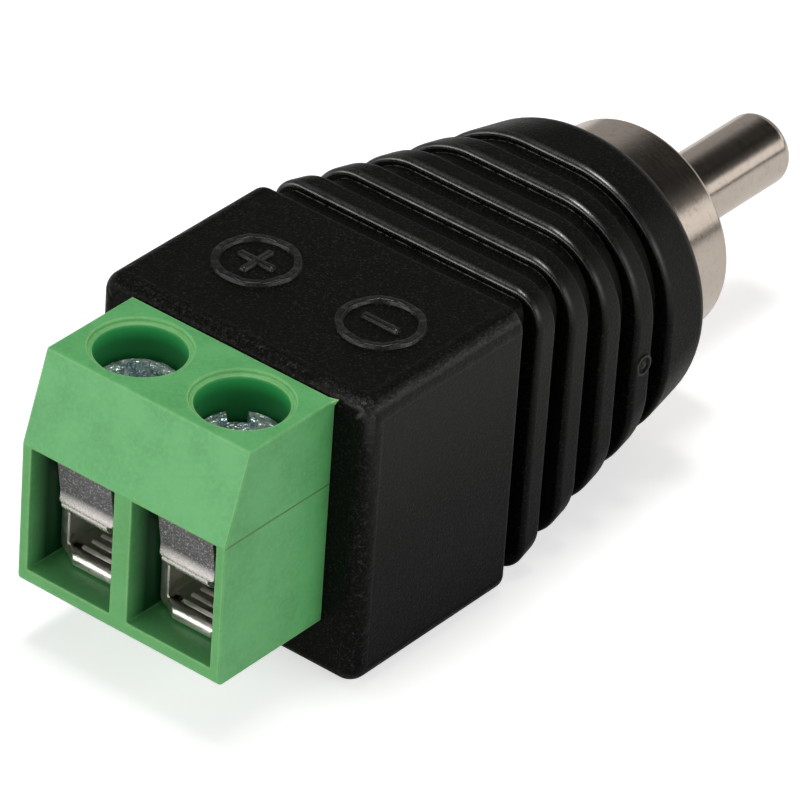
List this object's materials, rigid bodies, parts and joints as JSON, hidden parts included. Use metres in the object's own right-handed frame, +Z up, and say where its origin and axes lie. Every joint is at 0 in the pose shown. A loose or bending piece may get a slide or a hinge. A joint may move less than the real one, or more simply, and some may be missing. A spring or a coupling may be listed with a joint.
{
  "type": "phono plug with screw terminal",
  "caption": "Phono plug with a screw terminal: a ribbed, tapering moulded body carries a metal collar and centre pin in front and a terminal block with rising clamps behind.",
  "frame": {"origin": "underside of the body, at the middle of its plain block", "axes": "+X across the poles, +Y from the terminal block towards the tip of the plug, +Z up"},
  "size_m": [0.0138, 0.0406, 0.0132],
  "materials": {
    "black_moulding": "fine grained black moulding with scuffed edges",
    "green_moulding": "satin green moulding with paler edges",
    "tinned_strip": "matt tin plate",
    "clamp_metal": "bright plated strip",
    "plated_screw": "bright zinc plate",
    "plug_metal": "satin nickel plate",
    "insulator_plastic": "plain off-white plastic",
    "lead_wire": "tinned wire"
  },
  "bodies": {
    "housing": {"body": "black_moulding", "terminal_housing": "green_moulding", "contact_left": "tinned_strip", "contact_right": "tinned_strip", "collar": "plug_metal", "insulator": "insulator_plastic", "centre_pin": "plug_metal", "signal_lead": "lead_wire", "ground_lead": "lead_wire"},
    "screw_left": {"screw_left": "plated_screw"},
    "screw_right": {"screw_right": "plated_screw"},
    "cage_left": {"cage_left": "clamp_metal"},
    "cage_right": {"cage_right": "clamp_metal"}
  },
  "joints": [
    {"name": "screw_left_turn", "type": "hinge", "parent": "housing", "child": "screw_left", "pos_m": [-0.00254, -0.00717, 0.01133], "axis": [0, 0, -1], "range_deg": [0, 1080]},
    {"name": "cage_left_lift", "type": "slide", "parent": "housing", "child": "cage_left", "axis": [0, 0, 1], "range_m": [0, 0.0015]},
    {"name": "screw_right_turn", "type": "hinge", "parent": "housing", "child": "screw_right", "pos_m": [0.00254, -0.00717, 0.01133], "axis": [0, 0, -1], "range_deg": [0, 1080]},
    {"name": "cage_right_lift", "type": "slide", "parent": "housing", "child": "cage_right", "axis": [0, 0, 1], "range_m": [0, 0.0015]}
  ],
  "couplings": [
    {"joint": "screw_left_turn", "follows": "cage_left_lift", "rad_per_m": 12566},
    {"joint": "screw_right_turn", "follows": "cage_right_lift", "rad_per_m": 12566}
  ]
}
